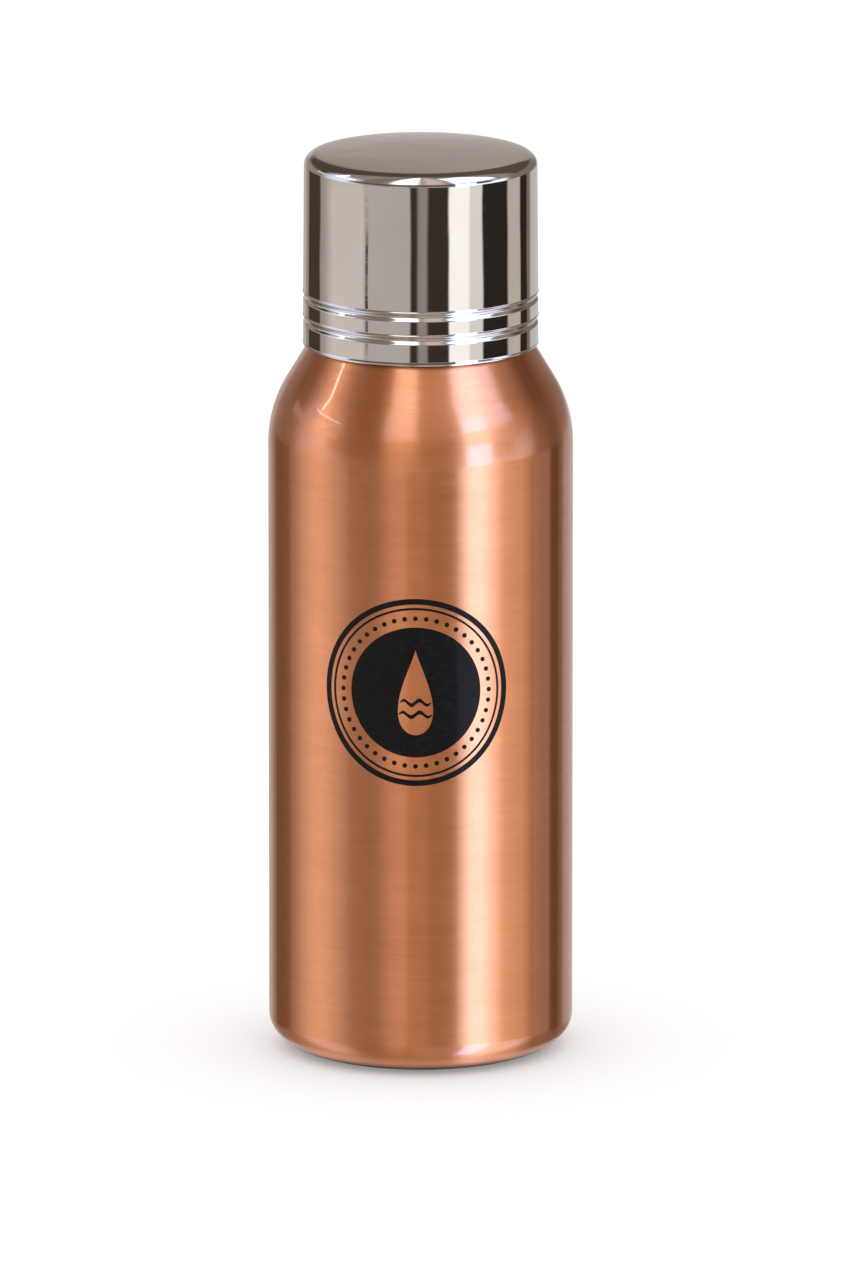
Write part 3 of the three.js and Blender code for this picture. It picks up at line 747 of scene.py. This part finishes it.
def spring(button_floor):
    """A conical compression spring, a closed tube along its helix, from the pocket's floor to the button."""
    wire = 0.3
    turns = 3
    foot_r = 10.6
    head_r = 6.2
    steps = turns * 48
    sides = 12
    low = POCKET_FLOOR + wire + GAP
    high = button_floor - wire - GAP
    vertices = []
    for i in range(steps + 1):
        t = i / steps
        angle = t * turns * 2 * math.pi
        r = foot_r + (head_r - foot_r) * t
        z = low + (high - low) * t
        for k in range(sides):
            a = 2 * math.pi * k / sides
            radius = r + wire * math.cos(a)
            vertices.append(
                (radius * MM * math.cos(angle), radius * MM * math.sin(angle), (z + wire * math.sin(a)) * MM)
            )
    faces = [list(range(sides)), [steps * sides + k for k in range(sides)][::-1]]
    for i in range(steps):
        for k in range(sides):
            n = (k + 1) % sides
            faces.append([i * sides + k, (i + 1) * sides + k, (i + 1) * sides + n, i * sides + n])
    fit(mesh_object("return_spring", vertices, faces, SATIN), "satin_steel", "button_spring")


# ---- Printed mark: a water drop in a disc, inside two rings and a ring of dots ----
MARK_Z = 91
MARK_X = -1.2
INK_LOW = 0.01  # how far the ink's underside and its face stand off the wall
INK_T = 0.05


def on_wall(u, v, lift):
    """A point of the flat artwork, wrapped on to the front of the body's wall."""
    angle = (u + MARK_X) / BODY_R - math.pi / 2
    r = (BODY_R + lift) * MM
    return (r * math.cos(angle), r * math.sin(angle), (v + MARK_Z) * MM)


def ink_band(inner, outer, rows):
    """A thin printed area between two closed curves with as many points, as (vertices, faces)."""
    count = len(inner)
    vertices = []
    for lift in (INK_LOW, INK_T):
        for row in range(rows + 1):
            t = row / rows
            for (u0, v0), (u1, v1) in zip(inner, outer):
                vertices.append(on_wall(u0 + (u1 - u0) * t, v0 + (v1 - v0) * t, lift))
    layer = (rows + 1) * count
    faces = []
    for row in range(rows):
        for k in range(count):
            n = (k + 1) % count
            quad = [row * count + k, row * count + n, (row + 1) * count + n, (row + 1) * count + k]
            faces.append(quad)
            faces.append([layer + c for c in quad][::-1])
    for k in range(count):
        n = (k + 1) % count
        faces.append([k, layer + k, layer + n, n])
        edge = rows * count
        faces.append([edge + k, edge + n, layer + edge + n, layer + edge + k])
    return vertices, faces


def circle(radius, count=192, u=0.0, v=0.0):
    return [
        (u + radius * math.sin(2 * math.pi * k / count), v + radius * math.cos(2 * math.pi * k / count))
        for k in range(count)
    ]


def drop(width, height, base, count=192):
    """A water drop's outline, point upwards, starting at the point and going clockwise."""
    points = []
    for k in range(count):
        a = 2 * math.pi * k / count
        u = width / 2 * math.sin(a) * math.sin(a / 2) ** 1.5
        v = base + height * (1 + math.cos(a)) / 2
        points.append((u, v))
    return points


def dot(u, v, radius):
    """A small printed dot, as a thin solid disc."""
    count = 16
    rim = circle(radius, count, u, v)
    vertices = [on_wall(a, b, INK_LOW) for a, b in rim] + [on_wall(a, b, INK_T) for a, b in rim]
    faces = [list(range(count)), list(range(count, 2 * count))[::-1]]
    for k in range(count):
        n = (k + 1) % count
        faces.append([k, count + k, count + n, n])
    return vertices, faces


def wave(v, half, height, width):
    """A wavy printed line with pointed ends."""
    steps = 48
    low_edge = []
    high_edge = []
    for i in range(steps + 1):
        t = i / steps
        u = -half + 2 * half * t
        thick = width / 2 * math.sin(math.pi * t) ** 0.4 + 0.01
        middle = v + height * math.sin(4 * math.pi * t)
        low_edge.append((u, middle - thick))
        high_edge.append((u, middle + thick))
    vertices = []
    for lift in (INK_LOW, INK_T):
        vertices += [on_wall(u, w, lift) for u, w in low_edge]
        vertices += [on_wall(u, w, lift) for u, w in high_edge]
    row = steps + 1
    layer = 2 * row
    faces = []
    for i in range(steps):
        quad = [i, row + i, row + i + 1, i + 1]
        faces.append(quad)
        faces.append([layer + c for c in quad][::-1])
        faces.append([i, i + 1, layer + i + 1, layer + i])
        faces.append([row + i, layer + row + i, layer + row + i + 1, row + i + 1])
    faces.append([0, layer, layer + row, row])
    faces.append([steps, row + steps, layer + row + steps, layer + steps])
    return vertices, faces


def printed_mark():
    parts = [
        ink_band(circle(20.6), circle(21.9), 1),
        ink_band(circle(19.3), circle(19.8), 1),
        ink_band(drop(11.5, 20, -10), circle(15.2), 14),
        wave(-2.4, 3.6, 0.55, 0.95),
        wave(-5.2, 3.9, 0.55, 0.95),
    ]
    dots = 44
    for i in range(dots):
        a = 2 * math.pi * i / dots
        parts.append(dot(17.3 * math.sin(a), 17.3 * math.cos(a), 0.55))
    vertices = []
    faces = []
    for part_vertices, part_faces in parts:
        start = len(vertices)
        vertices += part_vertices
        faces += [[start + c for c in face] for face in part_faces]
    mark = mesh_object("printed_mark", vertices, faces, INK)
    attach(mark, "bottle")


# ---- Stage: floor, studio light and camera ----
VIEW_UP = math.radians(12.9)
VIEW_DISTANCE = 4.4
LENS = 538  # millimetres, a long lens
AIM = Vector((0.0011, 0, 0.0953))
NEAR_FLOOR_R = 0.034
FAR_FLOOR_R = 9.0
FLOOR_SIDES = 96


def floor_material():
    """Matt white, lit past white so that only the contact shadow shows, and clear from below."""
    s = Surface("floor", Roughness=1.0)
    s.shader.inputs["Specular IOR Level"].default_value = 0.0
    s.shader.inputs["Base Color"].default_value = (0.785, 0.805, 0.825, 1)
    s.shader.inputs["Emission Color"].default_value = (1, 1, 1, 1)
    s.shader.inputs["Emission Strength"].default_value = 0.25
    geometry = s.node("ShaderNodeNewGeometry")
    clear = s.node("ShaderNodeBsdfTransparent")
    mix = s.node("ShaderNodeMixShader")
    s.link(geometry.outputs["Backfacing"], mix.inputs[0])
    s.link(s.shader.outputs[0], mix.inputs[1])
    s.link(clear.outputs[0], mix.inputs[2])
    s.link(mix.outputs[0], s.tree.nodes["Material Output"].inputs["Surface"])
    return s.material


def floor():
    """A wide floor that light and the camera see.

    The metal reflects only its middle, which holds the bottle's contact shadow, and the panels beyond that.
    """
    material = floor_material()
    turn = [2 * math.pi * k / FLOOR_SIDES for k in range(FLOOR_SIDES)]
    near = [(NEAR_FLOOR_R * math.cos(a), NEAR_FLOOR_R * math.sin(a), 0) for a in turn]
    far = [(FAR_FLOOR_R * math.cos(a), FAR_FLOOR_R * math.sin(a), 0) for a in turn]
    mesh_object("near_floor", near, [list(range(FLOOR_SIDES))], material)
    around = []
    for k in range(FLOOR_SIDES):
        n = (k + 1) % FLOOR_SIDES
        around.append([k, FLOOR_SIDES + k, FLOOR_SIDES + n, n])
    wide = mesh_object("far_floor", near + far, around, material)
    wide.visible_glossy = False


# What the metal reflects, each over the ones before it: from and to in degrees round from the camera, right
# positive; from and to in degrees above level; soft edge in degrees; brightness; and warmth.
# The cards stand where a vertical mirror sees them. The brushed copper blurs them into the tall panels.
# The lid's top shows the wall behind the lid from in front, and the gap over the softbox from behind.
PANELS = {
    "back ceiling": ((108, 252), (14, 84), 12, 0.12, 0.8),
    "wall behind the lid": ((164, 196), (2, 22), 7, 0.42, 0.4),
    "back left beam": ((-177, -110), (14, 60), 10, 0.1, 0.9),
    "left key": ((-106, -66), (-90, 30), 24, 1.05, -0.55),
    "left back wall": ((-188, -165), (-90, 6), 16, 0.8, 0.25),
    "left shade": ((-150, -120), (-90, 14), 18, 0.36, 0.6),
    "front strip": ((-28, -13), (-90, 75), 8, 0.56, 0.4),
    "front room": ((-6, 27), (-90, -5), 10, 0.62, 0.2),
    "main softbox spill": ((50, 94), (-90, 8), 16, 1.6, -0.4),
    "right shade": ((98, 162), (-90, 14), 14, 0.25, 0.6),
    "dark ceiling edge": ((-75, 75), (0, 14), 9, 0.14, 0.7),
    "overhead left gap": ((-62, -38), (16, 84), 10, 0.28, 0.7),
    "overhead strip": ((-30, -3), (18, 86), 10, 2.1, -0.25),
    "overhead gap": ((3, 26), (18, 84), 12, 0.8, 0.5),
    "overhead right": ((34, 82), (22, 70), 10, 2.2, -1.2),
    "main softbox": ((35, 56), (-90, 34), 4, 2.5, -2.6),
    "gap over the softbox": ((34, 57), (10, 22), 4, 0.8, -0.2),
    "rim light": ((-125, -68), (9, 14), 3, 1.0, 0.0),
    "table": ((-180, 180), (-90, -58), 14, 0.45, 0.6),
    "left card": ((-116, -55), (-19, -7), 3, 0.42, 0.3),
    "left card glow": ((-104, -45), (-19, -7), 20, 0.86, 0.25),
    "grey card": ((-58, -10), (-19, -7), 3, 0.58, 0.25),
    "back left card": ((-184, -153), (-19, 2), 6, 0.55, 0.25),
    "left flag": ((-144, -117.5), (-19, -7), 3, 0.07, 0.9),
    "pole": ((-56, -53), (-12, -11), 0.4, 0.06, 0.3),
    "camera flag": ((-10, 28), (-19, -7), 3, 0.05, 0.8),
    "gap in the camera flag": ((-3, 6.5), (-19, -7), 4, 0.36, 0.35),
    "softbox face": ((28, 52), (-19, -7), 3, 1.36, 0.05),
    "softbox rim": ((49, 67), (-19, -7), 4, 0.95, 0.1),
    "right flag": ((63.5, 98), (-19, -7), 3, 0.03, 0.7),
    "right card": ((95.5, 118), (-19, -7), 4, 0.64, 0.35),
    "narrow flag": ((115.5, 129), (-19, -7), 3, 0.03, 0.8),
    "back right card": ((137, 174), (-17, -6), 6, 0.64, 0.15),
    "window bar": ((-94, -91.5), (24, 42), 1, 9.0, 0.05),
    "window sill": ((-98, -70), (21.5, 22.5), 1, 7.0, 0.05),
}


def studio_light():
    """Soft even light for all that isn't metal, and the panels for the metal to reflect."""
    world = bpy.data.worlds.new("studio")
    bpy.context.scene.world = world
    world.use_nodes = True
    world.cycles.sampling_method = "NONE"
    tree = world.node_tree

    def node(kind, **settings):
        made = tree.nodes.new(kind)
        for key, value in settings.items():
            setattr(made, key, value)
        return made

    def fill(socket, given):
        if isinstance(given, bpy.types.NodeSocket):
            tree.links.new(given, socket)
        else:
            socket.default_value = given

    def value(operation, *inputs):
        made = node("ShaderNodeMath", operation=operation)
        for socket, given in zip(made.inputs, inputs):
            fill(socket, given)
        return made.outputs[0]

    def mixed(factor, a, b):
        made = node("ShaderNodeMix", data_type="RGBA")
        fill(made.inputs["Factor"], factor)
        fill(made.inputs[6], a)
        fill(made.inputs[7], b)
        return made.outputs[2]

    def within(distance, reach, soft):
        """1 where the distance is under the reach, falling to 0 over the soft edge."""
        made = node("ShaderNodeMapRange", interpolation_type="SMOOTHSTEP")
        made.inputs["From Min"].default_value = reach + soft / 2
        made.inputs["From Max"].default_value = reach - soft / 2
        fill(made.inputs["Value"], distance)
        return made.outputs["Result"]

    def lit(level, warmth):
        """A light's colour: warmth from 0 to 1 reddens it, and below 0 makes it cooler."""
        green, blue = (0.3, 0.5) if warmth > 0 else (0.2, 0.8)
        return (level, level * (1 - green * warmth), level * (1 - blue * warmth), 1)

    coordinates = node("ShaderNodeTexCoord")
    split = node("ShaderNodeSeparateXYZ")
    tree.links.new(coordinates.outputs["Generated"], split.inputs[0])
    toward = value("MULTIPLY", split.outputs["Y"], -1.0)
    around = value("DEGREES", value("ARCTAN2", split.outputs["X"], toward))
    above = value("DEGREES", value("ARCSINE", split.outputs["Z"]))
    reflected = lit(0.36, 0.5)  # wherever no panel stands
    for (left, right), (low, high), soft, level, warmth in PANELS.values():
        offset_around = value("WRAP", value("SUBTRACT", around, (left + right) / 2), 180.0, -180.0)
        offset_above = value("SUBTRACT", above, (low + high) / 2)
        across = within(value("ABSOLUTE", offset_around), (right - left) / 2, soft)
        upright = within(value("ABSOLUTE", offset_above), (high - low) / 2, soft)
        reflected = mixed(value("MULTIPLY", across, upright), reflected, lit(level, warmth))
    path = node("ShaderNodeLightPath")
    soft_sky = mixed(value("GREATER_THAN", above, 0.0), (0.12, 0.12, 0.12, 1), (1.05, 1.05, 1.05, 1))
    even = mixed(value("MINIMUM", path.outputs["Diffuse Depth"], 1.0), reflected, soft_sky)
    seen = mixed(path.outputs["Is Camera Ray"], even, (0.995, 0.995, 0.995, 1))
    tree.links.new(seen, tree.nodes["Background"].inputs["Color"])


def camera():
    """A long lens from slightly above, upright on the bottle."""
    data = bpy.data.cameras.new("camera")
    data.lens = LENS
    data.sensor_width = 36
    data.clip_start = 0.1
    data.clip_end = 60
    back = Vector((0, -math.cos(VIEW_UP), math.sin(VIEW_UP)))
    placed = bpy.data.objects.new("camera", data)
    placed.location = AIM + back * VIEW_DISTANCE
    placed.rotation_euler = (math.pi / 2 - VIEW_UP, 0, 0)
    bpy.context.scene.collection.objects.link(placed)
    bpy.context.scene.camera = placed


outer_shell()
base_pieces()
liner()
cup_shell()
inner_cup()
stopper()
button_group()
printed_mark()
floor()
studio_light()
camera()
bpy.context.scene.view_settings.view_transform = "Standard"
